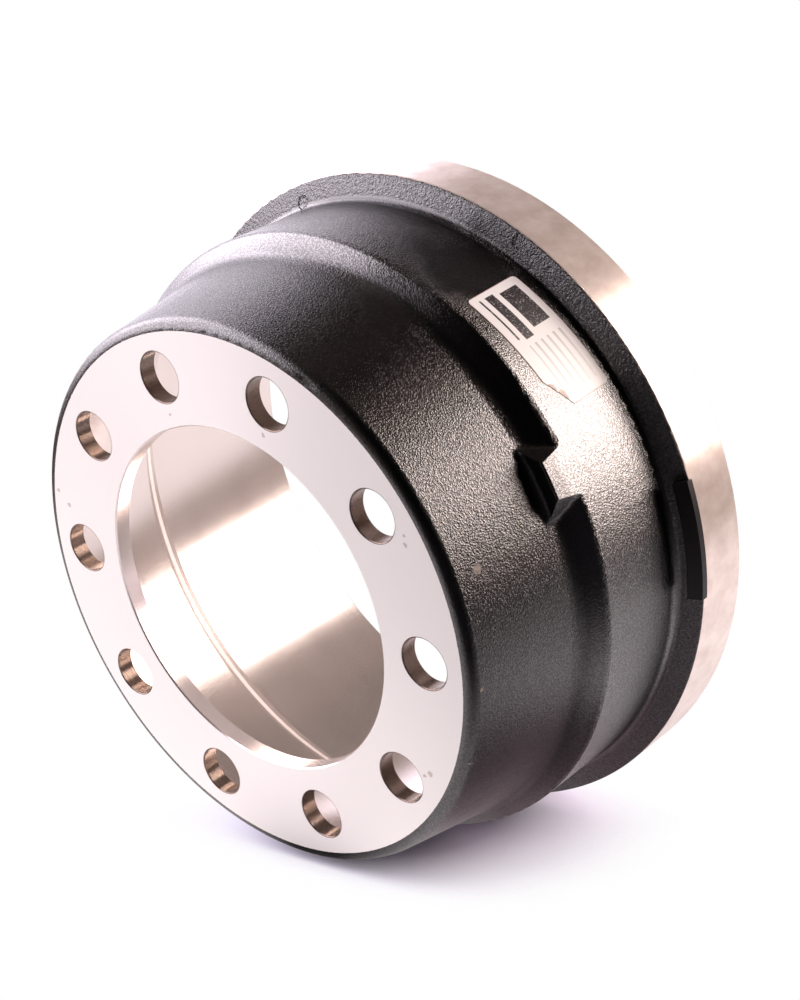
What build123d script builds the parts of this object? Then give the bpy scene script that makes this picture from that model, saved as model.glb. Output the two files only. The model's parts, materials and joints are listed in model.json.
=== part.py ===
import os
from math import cos, hypot, radians, sin, tan

from build123d import *

# A truck brake drum: one grey iron casting, a bar welded on to balance it, and a paper label.
# Lengths are in millimetres and angles in degrees.
# The drum stands on its open end. The origin is the centre of that end, and +Z runs along the
# axle towards the wheel's mounting face.

# Brake bore, and the walls that stand round it
drum_height = 222.25
brake_radius = 190.5
body_wall = 10.8
shoulder_width = 16.1
barrel_inset = 14.2
rim_width = 6.6

# Web, with its pilot bore and bolt holes
web_thickness = 11.1
pilot_radius = 111.5
pilot_chamfer = 0.9
bolt_circle_radius = 142.875
bolt_count = 10
bolt_hole_radius = 15.9
bolt_hole_chamfer = 0.5

# Barrel, which widens from the face to the step
barrel_draft = 9.1
barrel_length = 80.4
barrel_wall = 12.1
rim_depth = 6.0

# Step from the barrel out to the body, and the cone inside it
step_length = 12.6
inner_crest_lag = 6.6
inner_step_length = 16.5

# Ring around the open end, its sloping shoulder and the lip beyond it
ring_width = 39.6
lip_length = 16.35
shoulder_drop = 6.3

# Cast roundings and machined chamfers
step_foot_rounding = 15.0
step_crest_rounding = 6.0
shoulder_rounding = 6.0
ring_front_rounding = 1.5
ring_chamfer = 0.8
ring_back_rounding = 2.0
mouth_chamfer = 1.5
inner_crest_rounding = 3.0
web_rounding = 6.0

# Cast lug that fills the step over a short arc
lug_angle = -81.75
lug_lead = 5.6
lug_overlap = 4.0
lug_front_half_width = 10.6
lug_back_half_width = 14.6
lug_side_slope = 0.83
lug_reach = 16.0
lug_foot_rounding = 5.0
lug_edge_rounding = 1.2

# Balance weight, a bar welded along the shoulder
weight_start_angle = -111.8
weight_arc = 19.8
weight_width = 10.2
weight_overhang = 1.8
weight_thickness = 5.0
weight_rounding = 0.8

# Paper label on the body, between the step and the shoulder
label_angle = -61.1
label_width = 83.0
label_step_gap = 14.2
label_shoulder_gap = 6.8
label_tilt = 3.0
label_corner = 3.5
label_thickness = 0.15
label_glue = 0.15
label_tear_width = 17.0
label_tear_height = 10.0
label_tear_angle = 30.0

# Radii of the walls
body_radius = brake_radius + body_wall
ring_radius = body_radius + shoulder_width
barrel_face_radius = brake_radius - barrel_inset
face_radius = barrel_face_radius - rim_width


def barrel_radius(depth):
    """Outer radius of the barrel at a depth below the mounting face."""
    return barrel_face_radius + depth * tan(radians(barrel_draft))


def nearest(sketch, point):
    """Corner of a sketch that lies nearest to a point."""
    return sketch.vertices().sort_by_distance((point[0], point[1], 0))[0]


def plane_facing(angle, radius, height=0, tilt=0):
    """Plane square to a radius of the drum, its X round the drum and its Y along the axle."""
    return Plane(
        origin=(radius * cos(radians(angle)), radius * sin(radians(angle)), height),
        x_dir=(
            -sin(radians(angle)) * cos(radians(tilt)),
            cos(radians(angle)) * cos(radians(tilt)),
            sin(radians(tilt)),
        ),
        z_dir=(cos(radians(angle)), sin(radians(angle)), 0),
    )


def at_foot(edge):
    """Whether an edge lies where the lug's front or side meets the barrel or the step."""
    middle = edge @ 0.5
    radius = hypot(middle.X, middle.Y)
    if middle.Z > lug_front_height - 0.1:
        return radius < barrel_radius(barrel_length)
    return radius < body_radius - step_crest_rounding and middle.Z > step_crest_height


# Heights of the section's corners
web_underside = drum_height - web_thickness
step_foot_height = drum_height - barrel_length
step_crest_height = step_foot_height - step_length
ring_back_height = lip_length
ring_front_height = ring_back_height + ring_width
shoulder_height = ring_front_height + shoulder_drop
inner_barrel_length = barrel_length + inner_crest_lag
inner_crest_height = drum_height - inner_barrel_length
brake_top_height = inner_crest_height - inner_step_length

# Corners of the drum's section, as radius and height
pilot_bottom = (pilot_radius, web_underside)
pilot_top = (pilot_radius, drum_height - pilot_chamfer)
face_inner = (pilot_radius + pilot_chamfer, drum_height)
face_outer = (face_radius, drum_height)
rim_end = (barrel_radius(rim_depth), drum_height - rim_depth)
step_foot = (barrel_radius(barrel_length), step_foot_height)
step_crest = (body_radius, step_crest_height)
shoulder_foot = (body_radius, shoulder_height)
ring_front = (ring_radius, ring_front_height)
ring_back = (ring_radius, ring_back_height)
lip_root = (body_radius, ring_back_height)
lip_outer = (body_radius, 0)
mouth = (brake_radius, 0)
brake_top = (brake_radius, brake_top_height)
inner_crest = (barrel_radius(inner_barrel_length) - barrel_wall, inner_crest_height)
web_corner = (barrel_radius(web_thickness) - barrel_wall, web_underside)

# Lug's block: its sides flare towards the root and towards the body, and its top is turned
lug_front_height = step_foot_height + lug_lead
lug_back_height = step_crest_height - lug_overlap
lug_excess = 1.0
with BuildPart() as lug:
    for drop in (-lug_excess, lug_reach):
        front = lug_front_half_width + drop * lug_side_slope
        back = lug_back_half_width + drop * lug_side_slope
        with BuildSketch(plane_facing(lug_angle, body_radius - drop)):
            with BuildLine():
                Polyline((-front, lug_front_height), (front, lug_front_height),
                         (back, lug_back_height), (-back, lug_back_height), close=True)
            make_face()
    loft(ruled=True)
    with BuildSketch(Plane.XY.offset(lug_back_height)):
        Circle(body_radius)
    extrude(amount=lug_front_height - lug_back_height, mode=Mode.INTERSECT)

# Bolt hole's cutter, with a countersink at both faces of the web
cut_excess = 1.0
sink_radius = bolt_hole_radius + bolt_hole_chamfer + cut_excess
with BuildPart() as bolt_hole:
    with BuildSketch(Plane.XZ):
        with BuildLine():
            Polyline(
                (0, drum_height + cut_excess),
                (sink_radius, drum_height + cut_excess),
                (bolt_hole_radius, drum_height - bolt_hole_chamfer),
                (bolt_hole_radius, web_underside + bolt_hole_chamfer),
                (sink_radius, web_underside - cut_excess),
                (0, web_underside - cut_excess),
                close=True,
            )
        make_face()
    revolve(axis=Axis.Z)

# Drum: the section turned about the axle, then the lug and the bolt holes
with BuildPart() as brake_drum:
    with BuildSketch(Plane.XZ) as section:
        with BuildLine():
            Polyline(pilot_bottom, pilot_top, face_inner, face_outer)
            TangentArc(face_outer, rim_end, tangent=(1, 0))
            Polyline(rim_end, step_foot, step_crest, shoulder_foot, ring_front, ring_back,
                     lip_root, lip_outer, mouth, brake_top, inner_crest, web_corner, pilot_bottom)
        make_face()
        fillet(nearest(section, step_foot), step_foot_rounding)
        fillet(nearest(section, step_crest), step_crest_rounding)
        fillet(nearest(section, shoulder_foot), shoulder_rounding)
        fillet(nearest(section, ring_front), ring_front_rounding)
        fillet(nearest(section, lip_root), ring_back_rounding)
        fillet(nearest(section, inner_crest), inner_crest_rounding)
        fillet(nearest(section, web_corner), web_rounding)
        chamfer(nearest(section, ring_back), ring_chamfer)
        chamfer(nearest(section, lip_outer), ring_chamfer)
        chamfer(nearest(section, mouth), mouth_chamfer)
    revolve(axis=Axis.Z)

    # Lug, its foot rounded into the barrel and the step, and its front edge eased
    turned_edges = brake_drum.edges()
    add(lug.part)
    lug_edges = brake_drum.edges() - turned_edges
    fillet(lug_edges.filter_by(GeomType.CIRCLE, reverse=True).filter_by(at_foot), lug_foot_rounding)
    lug_front = brake_drum.faces().filter_by(Plane.XY).filter_by_position(
        Axis.Z, lug_front_height - 0.01, lug_front_height + 0.01)
    fillet(lug_front.edges().sort_by(SortBy.DISTANCE)[-1], lug_edge_rounding)

    # Bolt holes
    with PolarLocations(bolt_circle_radius, bolt_count):
        add(bolt_hole.part, mode=Mode.SUBTRACT)

# Balance weight: its bar lies on the shoulder's slope and follows it round
shoulder_slope = shoulder_drop / shoulder_width
slope_length = (1 + shoulder_slope ** 2) ** 0.5
weight_outer_radius = ring_radius + weight_overhang
weight_inner_radius = weight_outer_radius - weight_width


def on_shoulder(radius, lift=0):
    """Point of the shoulder's slope at a radius, lifted square to the slope."""
    height = shoulder_height - (radius - body_radius) * shoulder_slope
    return (radius + lift * shoulder_slope / slope_length, height + lift / slope_length)


weight_plane = Plane(
    origin=(0, 0, 0),
    x_dir=(cos(radians(weight_start_angle)), sin(radians(weight_start_angle)), 0),
    z_dir=(sin(radians(weight_start_angle)), -cos(radians(weight_start_angle)), 0),
)
with BuildPart() as balance_weight:
    with BuildSketch(weight_plane):
        with BuildLine():
            weight_top = on_shoulder(weight_outer_radius, weight_thickness)[1]
            Polyline(
                on_shoulder(weight_inner_radius),
                on_shoulder(weight_inner_radius, weight_thickness),
                (weight_outer_radius, weight_top),
                on_shoulder(weight_outer_radius),
                close=True,
            )
        make_face()
    revolve(axis=Axis.Z, revolution_arc=weight_arc)
    fillet(balance_weight.edges().group_by(Axis.Z)[-1], weight_rounding)

# Label: a sheet laid round the body, with one corner torn off
label_height = step_crest_height - shoulder_height - label_step_gap - label_shoulder_gap
label_centre_height = shoulder_height + label_shoulder_gap + label_height / 2
label_radius = body_radius + label_glue
with BuildPart() as label:
    with BuildSketch(Plane.XY.offset(ring_front_height)):
        Circle(label_radius + label_thickness)
        Circle(label_radius, mode=Mode.SUBTRACT)
    extrude(amount=step_crest_height - ring_front_height)
    with BuildSketch(plane_facing(label_angle, 0, label_centre_height, label_tilt)):
        RectangleRounded(label_width, label_height, label_corner)
        with Locations((-label_width / 2, label_height / 2)):
            Rectangle(2 * label_tear_width, 2 * label_tear_height, rotation=label_tear_angle,
                      mode=Mode.SUBTRACT)
    extrude(amount=2 * body_radius, mode=Mode.INTERSECT)

os.makedirs("parts", exist_ok=True)
for name, piece in (
    ("brake_drum", brake_drum),
    ("balance_weight", balance_weight),
    ("label", label),
):
    piece.part.label = name
    export_step(piece.part, f"parts/{name}.step")
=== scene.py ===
import json
import math
from types import SimpleNamespace

import bpy
from mathutils import Matrix, Vector


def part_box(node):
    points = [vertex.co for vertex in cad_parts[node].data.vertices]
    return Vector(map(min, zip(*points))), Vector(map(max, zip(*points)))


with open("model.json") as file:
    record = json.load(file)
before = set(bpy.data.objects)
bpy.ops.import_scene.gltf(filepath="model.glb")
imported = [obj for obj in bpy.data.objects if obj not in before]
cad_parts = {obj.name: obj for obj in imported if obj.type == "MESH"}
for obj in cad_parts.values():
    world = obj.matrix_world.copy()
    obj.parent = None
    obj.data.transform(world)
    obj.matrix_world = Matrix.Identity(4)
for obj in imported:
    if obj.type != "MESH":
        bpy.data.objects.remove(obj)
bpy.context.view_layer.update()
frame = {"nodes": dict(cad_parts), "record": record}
print("frame loaded")


# Adds a node: its settings are set first, and then its sockets get their values or links
def addNode(tree, kind, settings=None, values=None, out=0):
    node = tree.nodes.new(kind)
    for key, value in (settings or {}).items():
        setattr(node, key, value)
    for key, value in (values or {}).items():
        slot = node.inputs[key]
        if isinstance(value, Signal):
            tree.links.new(value.socket, slot)
        elif slot.type == "RGBA":
            slot.default_value = (*value, 1)
        else:
            slot.default_value = value
    return Signal(tree, node.outputs[out])


# A socket that can be used in sums: each operator adds a Math node
class Signal:
    def __init__(self, tree, socket):
        self.tree = tree
        self.socket = socket

    def maths(self, operation, *others, clamp=False):
        settings = {"operation": operation, "use_clamp": clamp}
        return addNode(self.tree, "ShaderNodeMath", settings, dict(enumerate((self, *others))))

    def flipped(self, operation, other):
        return addNode(self.tree, "ShaderNodeMath", {"operation": operation}, {0: other, 1: self})

    def __add__(self, other):
        return self.maths("ADD", other)

    def __sub__(self, other):
        return self.maths("SUBTRACT", other)

    def __rsub__(self, other):
        return self.flipped("SUBTRACT", other)

    def __mul__(self, other):
        return self.maths("MULTIPLY", other)

    def __truediv__(self, other):
        return self.maths("DIVIDE", other)

    def __rtruediv__(self, other):
        return self.flipped("DIVIDE", other)

    def __pow__(self, other):
        return self.maths("POWER", other)

    def __rpow__(self, other):
        return self.flipped("POWER", other)

    __radd__ = __add__
    __rmul__ = __mul__

    def top(self, other):
        return self.maths("MAXIMUM", other)

    def low(self, other):
        return self.maths("MINIMUM", other)

    def size(self):
        return self.maths("ABSOLUTE")

    def clamped(self):
        return self.maths("ADD", 0.0, clamp=True)

    def over(self, edge, soft):  # 0 below the edge, 1 above it
        return ((self - edge) / soft).maths("ADD", 0.5, clamp=True)

    def under(self, edge, soft):
        return 1 - self.over(edge, soft)


# A node tree under construction
class Board:
    def __init__(self, tree, ending):
        self.tree = tree
        self.tree.nodes.clear()
        self.output = self.tree.nodes.new(ending)

    def add(self, kind, settings=None, values=None, out=0):
        return addNode(self.tree, kind, settings, values, out)

    def apart(self, vector):
        node = self.add("ShaderNodeSeparateXYZ", values={0: vector}).socket.node
        return [Signal(self.tree, part) for part in node.outputs]

    def joined(self, x, y, z):
        return self.add("ShaderNodeCombineXYZ", values={0: x, 1: y, 2: z})

    def vectorMaths(self, operation, vector, other):
        return self.add("ShaderNodeVectorMath", {"operation": operation}, {0: vector, 1: tuple(other)}, out=1)

    def place(self):  # the place on the model, in metres
        return self.add("ShaderNodeTexCoord", out=3)

    def away(self, where, point):  # how far a place is from a point
        return self.vectorMaths("DISTANCE", where, point)

    def along(self, vector, line):
        return self.vectorMaths("DOT_PRODUCT", vector, line)

    def noise(self, where, scale, detail=2.0, rough=0.5):
        return self.add("ShaderNodeTexNoise", values={
            "Vector": where, "Scale": scale, "Detail": detail, "Roughness": rough})

    def mix(self, amount, first, second):
        return self.add("ShaderNodeMix", {"data_type": "RGBA"}, {0: amount, 6: first, 7: second}, out=2)

    def bump(self, height, depth, strength=1.0):
        return self.add("ShaderNodeBump", values={"Height": height, "Distance": depth, "Strength": strength})

    def surface(self, values):
        return self.add("ShaderNodeBsdfPrincipled", values=values)

    def blend(self, amount, first, second):
        return self.add("ShaderNodeMixShader", values={0: amount, 1: first, 2: second})

    def glowing(self, kind, colour):
        return self.add(kind, values={"Color": colour, "Strength": 1.0})

    def finish(self, shader):
        self.tree.links.new(shader.socket, self.output.inputs[0])


# A material under construction
class Look(Board):
    def __init__(self, name):
        self.material = bpy.data.materials.new(name)
        self.material.use_nodes = True
        super().__init__(self.material.node_tree, "ShaderNodeOutputMaterial")

    def finish(self, shader):
        super().finish(shader)
        return self.material


def dress(node, material):
    mesh = frame["nodes"][node].data
    mesh.materials.clear()
    mesh.materials.append(material)


def byAngle(degrees, radius, height):
    turn = math.radians(degrees)
    return Vector((radius * math.cos(turn), radius * math.sin(turn), height))


# Drum's lines that the finishes follow, in metres
studs = next(mount["dims"] for mount in frame["record"]["mounts"] if mount["name"] == "wheel_bolts")
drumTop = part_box("brake_drum")[1]
drumLines = {
    "height": drumTop[2],
    "ringRadius": drumTop[0],
    "boltCircle": studs["pcd_mm"] / 2000,
    "holeRadius": studs["hole_r_mm"] / 1000,
    "holes": studs["count"],
    "holesAbove": 0.2,
    "faceRadius": 0.1697,
    "crestTop": 0.136,
    "shoulderFoot": 0.0665,
    "shoulderRadius": 0.2045,
    "rootTop": 0.083,
    "ringFront": 0.0556,
    "lipTop": 0.01635,
    # coneFoot and coneTop bound the painted highlight strip in the bore
    "coneFoot": 0.1255,
    "coneTop": 0.1318,
}

# Marks: angle, radius, height and size, with lengths in metres
faceNicks = [
    (-135.9, 0.157, 0.22225, 0.0018), (-137.6, 0.1545, 0.22225, 0.0012), (-80.4, 0.1555, 0.22225, 0.0013),
    (-78.6, 0.158, 0.22225, 0.0010), (-36.0, 0.122, 0.22225, 0.0013), (59.2, 0.166, 0.22225, 0.0014),
    (61.6, 0.156, 0.22225, 0.0014), (1.3, 0.120, 0.22225, 0.0010),
]
paintScars = [(-89.4, 0.1795, 0.2022, 0.0026), (-111.0, 0.1770, 0.2150, 0.0012)]
paintPits = [(2.6, 0.206, 0.0604, 0.0042), (-46.0, 0.213, 0.0577, 0.0050), (-127.0, 0.1763, 0.2170, 0.0022)]


def spots(look, where, marks, rag):
    found = None
    for angle, radius, height, size in marks:
        gap = look.away(where, byAngle(angle, radius, height))
        here = (gap / size + rag).under(1.0, 0.35)
        found = here if found is None else found.top(here)
    return found


# Where each finish of the drum lies
def drumMasks(look):
    where = look.place()
    x, y, z = look.apart(where)
    nx, ny, nz = look.apart(look.add("ShaderNodeNewGeometry", out=1))
    radius = (x * x + y * y) ** 0.5
    outward = (nx * x + ny * y) / radius
    angle = y.maths("ARCTAN2", x)

    # angle from the nearest hole's own, and the distance from that hole's axis
    step = 2 * math.pi / drumLines["holes"]
    folded = ((angle / step + 0.5).maths("FRACT") - 0.5) * step
    circle = drumLines["boltCircle"]
    holeGap = (radius * radius + circle * circle - 2 * circle * radius * folded.maths("COSINE")) ** 0.5

    edgeRag = (look.noise(where, 900.0) - 0.5) * 0.0006
    onFace = z.over(drumLines["height"] - 0.00012, 0.0001)
    onFace = onFace * (radius + edgeRag).under(drumLines["faceRadius"], 0.0003)
    inHole = holeGap.under(drumLines["holeRadius"] + 0.0008, 0.0002) * z.over(drumLines["holesAbove"], 0.001)
    inside = outward.under(-0.1, 0.1).top(nz.under(-0.5, 0.1))
    onRing = z.under(drumLines["ringFront"], 0.0002) * radius.over(drumLines["ringRadius"] - 0.0012, 0.0002)
    onLip = z.under(drumLines["lipTop"] + 0.0003, 0.0002)
    onShoulder = z.under(drumLines["shoulderFoot"], 0.004)
    onShoulder = onShoulder * radius.over(drumLines["shoulderRadius"], 0.003)
    return SimpleNamespace(
        where=where, z=z, nz=nz, radius=radius, angle=angle, folded=folded,
        onFace=onFace, inHole=inHole, inside=inside, onRing=onRing, onShoulder=onShoulder,
        bare=onFace.top(inHole).top(inside).top(onRing).top(onLip).low(1.0),
        rag=(look.noise(where, 620.0) - 0.5) * 1.4,
    )


# Cast and painted skin: scales are per metre, places are angle, radius and height
# the thick colour, roughness and level make a dull dark paint that also serves as painted shade
paintLook = {
    "black": (0.0008, 0.0006, 0.0009), "worn": (0.0034, 0.0026, 0.0032), "shoulder": (0.0060, 0.0040, 0.0070),
    "pit": (0.004, 0.003, 0.003), "scar": (0.30, 0.235, 0.18), "thickAndShaded": (0.0015, 0.0012, 0.0015),
    "grain": 1300.0, "coarse": 760.0, "lumps": 430.0, "dots": 880.0, "depth": 0.0005,
    "roughness": 0.23, "thickAndShadedRoughness": 0.3, "dullIor": 1.7, "brightenedCopyIor": 1.93, "thickAndShadedLevel": 0.12,
    "wrinklesAndShadeAt": (-42, 0.2013, 0.096), "wrinklesAndShadeReach": 0.048, "rootShadeFrom": -0.98, "rootShadeTo": 0.03,
}


def castPaint(look, at):
    grain = look.noise(at.where, paintLook["grain"], 3.0, 0.55)
    coarse = look.noise(at.where, paintLook["coarse"], 2.0, 0.6)
    lumps = look.noise(at.where, paintLook["lumps"])
    patches = look.noise(at.where, 22.0, 3.0, 0.6)
    dots = look.add("ShaderNodeTexVoronoi", {"feature": "SMOOTH_F1"}, {
        "Vector": at.where, "Scale": paintLook["dots"], "Smoothness": 0.4})
    pits = spots(look, at.where, paintPits, at.rag)
    scars = spots(look, at.where, paintScars, at.rag)

    # thick dull paint, also painted shade: wrinkled on the body, in the shoulder's root, and a little in the
    # grain's creases
    # the wrinkled patch is real wrinkled paint, darkened further as painted shade for a dark reflection there
    rough = look.away(at.where, byAngle(*paintLook["wrinklesAndShadeAt"]))
    wrinklesAndShade = (rough / paintLook["wrinklesAndShadeReach"] + (patches - 0.5) * 1.2).under(0.8, 0.6)
    # painted shade: the shoulder's root is darkened on the top side only
    rootShade = at.z.under(drumLines["rootTop"], 0.02) * (1 - at.onShoulder)
    rootShade = rootShade * at.angle.over(paintLook["rootShadeFrom"], 0.15) * at.angle.under(paintLook["rootShadeTo"], 0.25)
    thickAndShaded = wrinklesAndShade.top(dots.over(0.42, 0.4) * 0.4).top(rootShade * 0.7)

    # orange peel, smoother on the step and lumpy on the shoulder
    steep = at.nz.size().over(0.45, 0.3) * (1 - at.onShoulder)
    amount = (0.75 + at.onShoulder * 0.6 + wrinklesAndShade * 1.2) * (1 - steep * 0.5)
    height = (grain * 0.6 + coarse * 0.3 - dots * 0.4) * amount + lumps * at.onShoulder * 1.3 - pits * 4.0
    skin = look.bump(height, paintLook["depth"])

    colour = look.mix((patches - 0.35) * 0.7, paintLook["black"], paintLook["worn"])
    colour = look.mix(at.onShoulder * 0.55, colour, paintLook["shoulder"])
    colour = look.mix(pits, colour, paintLook["pit"])
    colour = look.mix(scars, colour, paintLook["scar"])
    roughness = paintLook["roughness"] + (coarse - 0.5) * 0.12 + at.onShoulder * 0.12 + scars * 0.3
    dull = look.surface({
        "Base Color": colour, "Roughness": roughness, "IOR": paintLook["dullIor"],
        "Specular IOR Level": 1.0, "Normal": skin})
    # a copy of the paint that reflects more strongly, a painted brightening of the body's sheen
    brightenedCopy = look.surface({
        "Base Color": colour, "Roughness": roughness - 0.03, "IOR": paintLook["brightenedCopyIor"],
        "Specular IOR Level": 1.0, "Normal": skin})
    # dull dark paint that carries the painted shade in the root, the wrinkled patch and the creases
    shadedThickPaint = look.surface({
        "Base Color": paintLook["thickAndShaded"], "Roughness": paintLook["thickAndShadedRoughness"],
        "Specular IOR Level": paintLook["thickAndShadedLevel"], "Normal": skin})
    # the body below the crest takes the brightened copy of the paint
    onBody = at.z.under(drumLines["crestTop"], 0.006) * (1 - at.onShoulder * 0.7)
    return look.blend(thickAndShaded, look.blend(onBody, dull, brightenedCopy), shadedThickPaint)


# Bare machined iron: a pair of colours is mixed by the turning lines and by broader bands; the cone's light
# colour is a painted highlight
ironLook = {
    "turned": ((0.66, 0.60, 0.575), (0.88, 0.825, 0.80)), "face": ((0.93, 0.905, 0.865), (0.98, 0.96, 0.92)),
    "ring": ((0.66, 0.56, 0.50), (0.98, 0.90, 0.85)), "drilled": ((0.07, 0.045, 0.04), (0.30, 0.23, 0.18)),
    "cone": (0.95, 0.90, 0.89), "nick": (0.42, 0.30, 0.27),
    "metal": 0.76, "roughness": 0.25, "lines": 900.0, "bands": 60.0, "lineDepth": 0.00004,
    "stretch": 0.7, "stretchTurn": 0.25,
}


def bareIron(look, at):
    fine = ironLook["lines"]
    wide = ironLook["bands"]
    lines = look.noise(look.joined(at.radius * fine, at.z * fine, 0.0), 1.0, 3.0, 0.7)
    bands = look.noise(look.joined(at.radius * wide, at.z * wide, at.folded), 1.0, 3.0, 0.6)
    smear = look.noise(look.joined(at.angle * 16.0, at.z * wide, at.angle * 5.0), 1.0, 4.0, 0.6)
    cloud = look.noise(at.where, 9.0, 3.0, 0.6)
    tint = (lines - 0.5) * 0.10 + (bands - 0.5) * 0.18 + (cloud - 0.5) * 0.20 + 0.5
    # painted highlight: a light, less metallic strip on the bore's cone, where its edge catches the light
    coneHighlight = at.inside * at.z.over(drumLines["coneFoot"], 0.0012) * at.z.under(drumLines["coneTop"], 0.0012)
    nicks = spots(look, at.where, faceNicks, at.rag * 1.3)

    turned = look.mix(tint.clamped(), *ironLook["turned"])
    turned = look.mix(at.onRing, turned, look.mix((tint + (smear - 0.5) * 1.6).clamped(), *ironLook["ring"]))
    turned = look.mix(coneHighlight, turned, ironLook["cone"])
    face = look.mix(tint.clamped(), *ironLook["face"])
    face = look.mix(nicks * at.onFace * 0.6, face, ironLook["nick"])
    drilled = look.mix((lines * 1.6 - 0.3).clamped(), *ironLook["drilled"])
    return look.surface({
        "Base Color": look.mix(at.inHole, look.mix(at.onFace, turned, face), drilled),
        "Metallic": ironLook["metal"] - at.onRing * 0.2 - at.onFace * 0.66 - coneHighlight * 0.55,
        "Roughness": ironLook["roughness"] + (bands - 0.5) * 0.08 + at.onFace * 0.32 + at.onRing * 0.08,
        "Anisotropic": ironLook["stretch"], "Anisotropic Rotation": ironLook["stretchTurn"],
        "Normal": look.bump(lines, ironLook["lineDepth"], 0.6)})


def makeDrum():
    look = Look("drumIron")
    at = drumMasks(look)
    dress("brake_drum", look.finish(look.blend(at.bare, castPaint(look, at), bareIron(look, at))))


weightLook = {
    "dark": (0.002, 0.0015, 0.003), "light": (0.008, 0.006, 0.009),
    "roughness": 0.34, "level": 0.35, "depth": 0.0001,
}


def makeWeight():
    look = Look("weightPaint")
    where = look.place()
    grain = look.noise(where, 300.0)
    dress("balance_weight", look.finish(look.surface({
        "Base Color": look.mix(look.noise(where, 60.0), weightLook["dark"], weightLook["light"]),
        "Roughness": weightLook["roughness"] + grain * 0.12, "Specular IOR Level": weightLook["level"],
        "Normal": look.bump(grain, weightLook["depth"])})))


# Label: generic blocks and rows. Each has its start and end, along the label from its end nearest the
# photograph's top, and then its foot and head above the label's lower edge, in metres
labelLook = {
    "angle": -61.1, "tilt": 3.0, "halfWidth": 0.0415, "halfHeight": 0.0230, "middle": 0.09205,
    # border: width of a painted shadow along the label's edges; rust colours both the stains and that shadow
    "edgeShadowWidth": 0.0004, "roughness": 0.38, "depth": 0.0003,
    "paper": (0.80, 0.80, 0.81), "pale": (0.86, 0.86, 0.86),
    "ink": (0.02, 0.017, 0.02), "rustAndEdgeShadow": (0.36, 0.21, 0.13),
    "blocks": [(0.006, 0.034, 0.006, 0.022), (0.004, 0.038, 0.0265, 0.034), (0.004, 0.036, 0.038, 0.0395)],
    "rows": (0.042, 0.077, 0.005, 0.036), "rowStep": 0.0058, "rowShare": 0.34,
    "stains": [(-71.2, 0.2016, 0.1065, 0.0036), (-69.3, 0.2016, 0.1105, 0.0030)],
}


def makeLabel():
    look = Look("labelPaper")
    where = look.place()
    x, y, z = look.apart(where)
    turn = math.radians(labelLook["angle"])
    tilt = math.radians(labelLook["tilt"])
    across = y * math.cos(turn) - x * math.sin(turn)
    rise = z - labelLook["middle"]
    start = labelLook["halfWidth"] - across * math.cos(tilt) - rise * math.sin(tilt)
    above = labelLook["halfHeight"] - across * math.sin(tilt) + rise * math.cos(tilt)

    def block(first, last, foot, head, soft=0.0003):
        alongLabel = start.over(first, soft) * start.under(last, soft)
        return alongLabel * above.over(foot, soft) * above.under(head, soft)

    wide = look.noise(where, 45.0, 3.0)
    fine = look.noise(where, 900.0)
    printed = block(*labelLook["blocks"][0])
    for place in labelLook["blocks"][1:]:
        printed = printed.top(block(*place))
    rows = (above / labelLook["rowStep"]).maths("FRACT").under(labelLook["rowShare"], 0.1)
    # painted highlight: the rows fade along the label, as if washed out by light towards its far end
    rows = rows * block(*labelLook["rows"]) * (0.75 - start * 8.0).top(0.06)
    # painted shadow: a thin dark line along the label's edges, in the rust colour
    line = labelLook["edgeShadowWidth"]
    sheet = block(line, 2 * labelLook["halfWidth"] - line, line, 2 * labelLook["halfHeight"] - line)
    stain = spots(look, where, labelLook["stains"], (look.noise(where, 330.0, 3.0) - 0.5) * 2.2)

    colour = look.mix(wide, labelLook["paper"], labelLook["pale"])
    colour = look.mix(rows, colour, labelLook["ink"])
    colour = look.mix(printed * (1 - (fine - 0.56).top(0.0) * 3.0), colour, labelLook["ink"])
    # painted shadow along the label's edges
    colour = look.mix((1 - sheet) * 0.75, colour, labelLook["rustAndEdgeShadow"])
    colour = look.mix(stain * 0.8, colour, labelLook["rustAndEdgeShadow"])
    dress("label", look.finish(look.surface({
        "Base Color": colour, "Roughness": labelLook["roughness"],
        "Normal": look.bump(wide, labelLook["depth"])})))


makeDrum()
makeWeight()
makeLabel()
print("materials done")


# Camera: the photograph's own place, rolled as the photograph is
cameraSetup = {
    "place": (0.25745, -0.89061, 0.89005),
    "right": (-0.322576, -0.687186, -0.650937),
    "up": (0.924326, -0.080567, -0.373003),
    "lens": 68.39,
    "sensor": 36.0,
}
right = Vector(cameraSetup["right"])
up = Vector(cameraSetup["up"])
back = right.cross(up)


def makeCamera():
    data = bpy.data.cameras.new("photoCamera")
    data.lens = cameraSetup["lens"]
    data.sensor_width = cameraSetup["sensor"]
    camera = bpy.data.objects.new("photoCamera", data)
    bpy.context.collection.objects.link(camera)
    pose = Matrix((right, up, back)).transposed().to_4x4()
    pose.translation = Vector(cameraSetup["place"])
    camera.matrix_world = pose
    bpy.context.scene.camera = camera


def inPhoto(toRight, toUp, toFront):  # a direction as the photograph shows it
    return right * toRight + up * toUp + back * toFront


# Room: for each patch its direction in the photograph, its colour, its half width in degrees and how soft;
# for each gap its direction, how dark, its half width and how soft
roomSetup = {
    "base": (0.19, 0.132, 0.11),
    "patches": [
        ((-0.52, 0.62, -0.58), (3.6, 3.25, 3.7), 24, 13),
        ((-0.25, 0.42, -0.87), (2.1, 1.93, 2.15), 25, 14),
    ],
    "gaps": [((0.18, 0.95, -0.20), 0.97, 16, 10), ((0.25, 0.25, 0.93), 0.99, 60, 16)],
}

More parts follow.
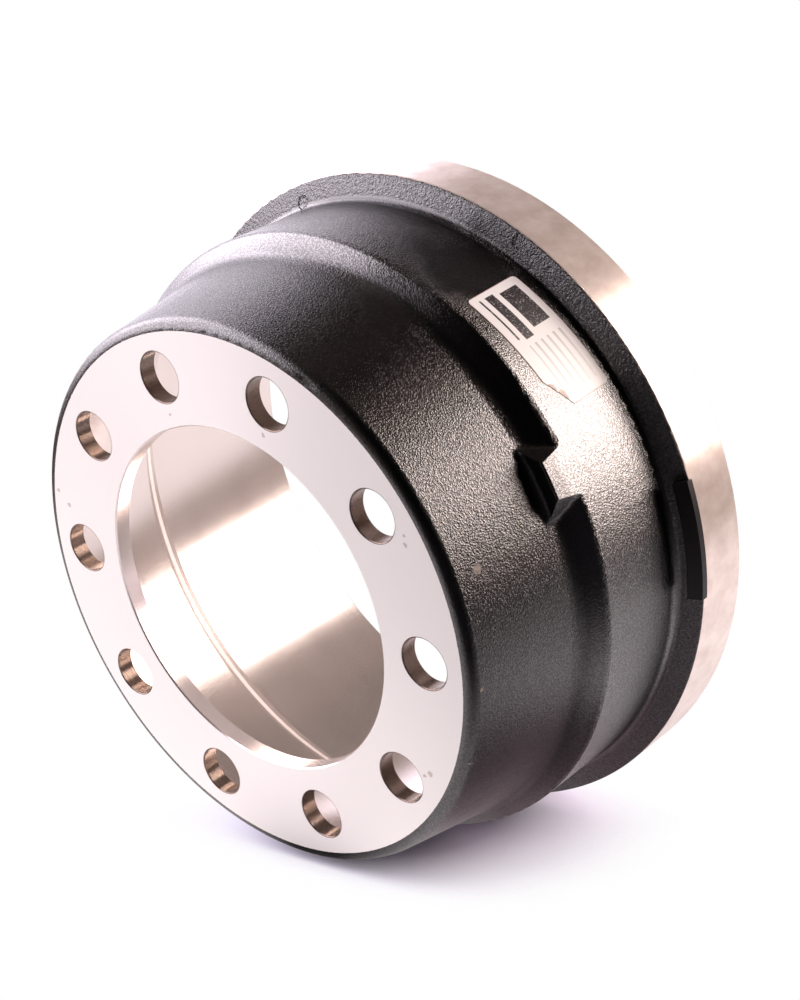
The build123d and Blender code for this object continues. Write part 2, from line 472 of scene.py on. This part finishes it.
# Floor: the drum lies on its ring and on the step's crest, as in the photograph. Dim and core are places
# on it, to the photograph's right and front. Every other pair is where a shade is half way, and how soft
# glow, gloom and black colour the floor's glow, a painted light; dim, core and shade place painted shadow on
# it
floorSetup = {
    "angle": 170.0, "lean": 12.3, "touchRadius": 0.2174, "touchHeight": 0.0559, "size": 3.0, "below": 0.0004,
    "rimRadius": 0.177, "rimHeight": 0.2172,
    "cloth": (0.78, 0.71, 0.97), "white": (0.17, 0.22), "shadowGap": 0.11, "shadowEdge": (0.33, 0.36),
    "glow": (1.17, 1.06, 1.09), "gloom": (0.46, 0.34, 0.38), "black": (0.03, 0.025, 0.03),
    "dim": (0.08, 0.11), "dimReach": (0.10, 0.05), "core": (0.085, 0.16), "coreReach": (0.065, 0.05),
    "coreDepth": 0.62, "shade": (0.055, 0.07), "shadeReach": (0.15, 0.08), "shadeDepth": 0.93,
    "front": (0.27, 0.24), "far": (0.95, 0.3),
}
lean = math.radians(floorSetup["lean"])
down = byAngle(floorSetup["angle"], math.cos(lean), math.sin(lean))
contact = byAngle(floorSetup["angle"], floorSetup["touchRadius"], floorSetup["touchHeight"])
rim = byAngle(floorSetup["angle"], floorSetup["rimRadius"], floorSetup["rimHeight"])
side = down.cross(Vector((0, 0, 1))).normalized()


def onFloor(toRight, toFront):
    start = right * toRight + back * toFront
    return start + up * ((contact - start).dot(down) / up.dot(down))


def makeFloorCloth():
    look = Look("floorWhite")
    where = look.place()
    gap = look.away(where, (contact + rim) / 2)

    def glow(colour):
        return look.glowing("ShaderNodeEmission", colour)

    # what the camera sees: cloth with its shadow, white farther out
    cloth = look.surface({"Base Color": floorSetup["cloth"], "Roughness": 0.9, "Specular IOR Level": 0.1})
    openness = look.add("ShaderNodeAmbientOcclusion", {"samples": 8}, {
        "Distance": floorSetup["shadowGap"]}, out=1)
    white = gap.over(*floorSetup["white"]).top(openness.over(*floorSetup["shadowEdge"]))
    shown = look.blend(white, cloth, glow((1.0, 1.0, 1.0)))

    # what the drum sees: the cloth as a glow, painted light, with painted shadow that makes it dim under the
    # drum, far away and towards the camera
    dim = look.away(where, onFloor(*floorSetup["dim"])).under(*floorSetup["dimReach"])
    core = look.away(where, onFloor(*floorSetup["core"])).under(*floorSetup["coreReach"])
    across = (look.along(where, side) - contact.dot(side)).size()
    shade = across.under(*floorSetup["shade"]) * gap.under(*floorSetup["shadeReach"])
    front = look.along(where, back) + look.along(where, right).low(0.0) * 0.6
    black = front.over(*floorSetup["front"]).top(core * floorSetup["coreDepth"])
    paintedFloorLight = look.blend(dim, glow(floorSetup["glow"]), glow(floorSetup["gloom"]))
    paintedFloorLight = look.blend(gap.over(*floorSetup["far"]), paintedFloorLight, glow(roomSetup["base"]))
    paintedFloorLight = look.blend(black.top(shade * floorSetup["shadeDepth"]), paintedFloorLight, glow(floorSetup["black"]))

    byCamera = look.add("ShaderNodeLightPath")
    fromBehind = look.add("ShaderNodeNewGeometry", out=6)
    clear = look.add("ShaderNodeBsdfTransparent")
    return look.finish(look.blend(fromBehind, look.blend(byCamera, paintedFloorLight, shown), clear))


def makeFloor():
    ahead = side.cross(down).normalized()
    size = floorSetup["size"]
    corners = [contact + side * a * size + ahead * b * size + down * floorSetup["below"]
               for a, b in ((-1, -1), (1, -1), (1, 1), (-1, 1))]
    mesh = bpy.data.meshes.new("floor")
    mesh.from_pydata([tuple(corner) for corner in corners], [], [(0, 1, 2, 3)])
    if mesh.polygons[0].normal.dot(down) > 0:
        mesh.flip_normals()
    mesh.materials.append(makeFloorCloth())
    floor = bpy.data.objects.new("floor", mesh)
    bpy.context.collection.objects.link(floor)


def makeWorld():
    world = bpy.data.worlds.new("studio")
    bpy.context.scene.world = world
    world.use_nodes = True
    room = Board(world.node_tree, "ShaderNodeOutputWorld")
    toward = room.add("ShaderNodeTexCoord", out=0)

    def within(aim, width, soft):
        cosine = room.along(toward, inPhoto(*aim).normalized())
        return cosine.low(1.0).top(-1.0).maths("ARCCOSINE").under(math.radians(width), math.radians(soft))

    colour = roomSetup["base"]
    for aim, tint, width, soft in roomSetup["patches"]:
        colour = room.mix(within(aim, width, soft), colour, tint)
    for aim, amount, width, soft in roomSetup["gaps"]:
        colour = room.mix(within(aim, width, soft) * amount, colour, (0.0, 0.0, 0.0))
    lit = room.glowing("ShaderNodeBackground", colour)
    shown = room.glowing("ShaderNodeBackground", (1.0, 1.0, 1.0))
    room.finish(room.blend(room.add("ShaderNodeLightPath"), lit, shown))


# Round softboxes: direction in the photograph, distance, width, radiance, colour
lampSetup = {
    "key": ((0.87, 0.46, 0.13), 1.6, 1.15, 11.5, (1.0, 0.84, 0.78)),
    "left": ((-0.86, 0.45, -0.02), 1.6, 2.10, 4.5, (1.0, 0.91, 1.0)),
}


def makeLamps():
    middle = Vector((0, 0, 0.11))
    for name, (aim, distance, width, radiance, colour) in lampSetup.items():
        data = bpy.data.lights.new(name, "AREA")
        data.shape = "DISK"
        data.size = width
        data.energy = radiance * math.pi * math.pi / 4 * width * width
        data.color = colour
        lamp = bpy.data.objects.new(name, data)
        bpy.context.collection.objects.link(lamp)
        toward = inPhoto(*aim).normalized()
        lamp.location = middle + toward * distance
        lamp.rotation_euler = toward.to_track_quat("Z", "Y").to_euler()


bpy.context.scene.view_settings.view_transform = "Standard"
makeCamera()
makeFloor()
makeWorld()
makeLamps()
print("floor, camera and lamps done")
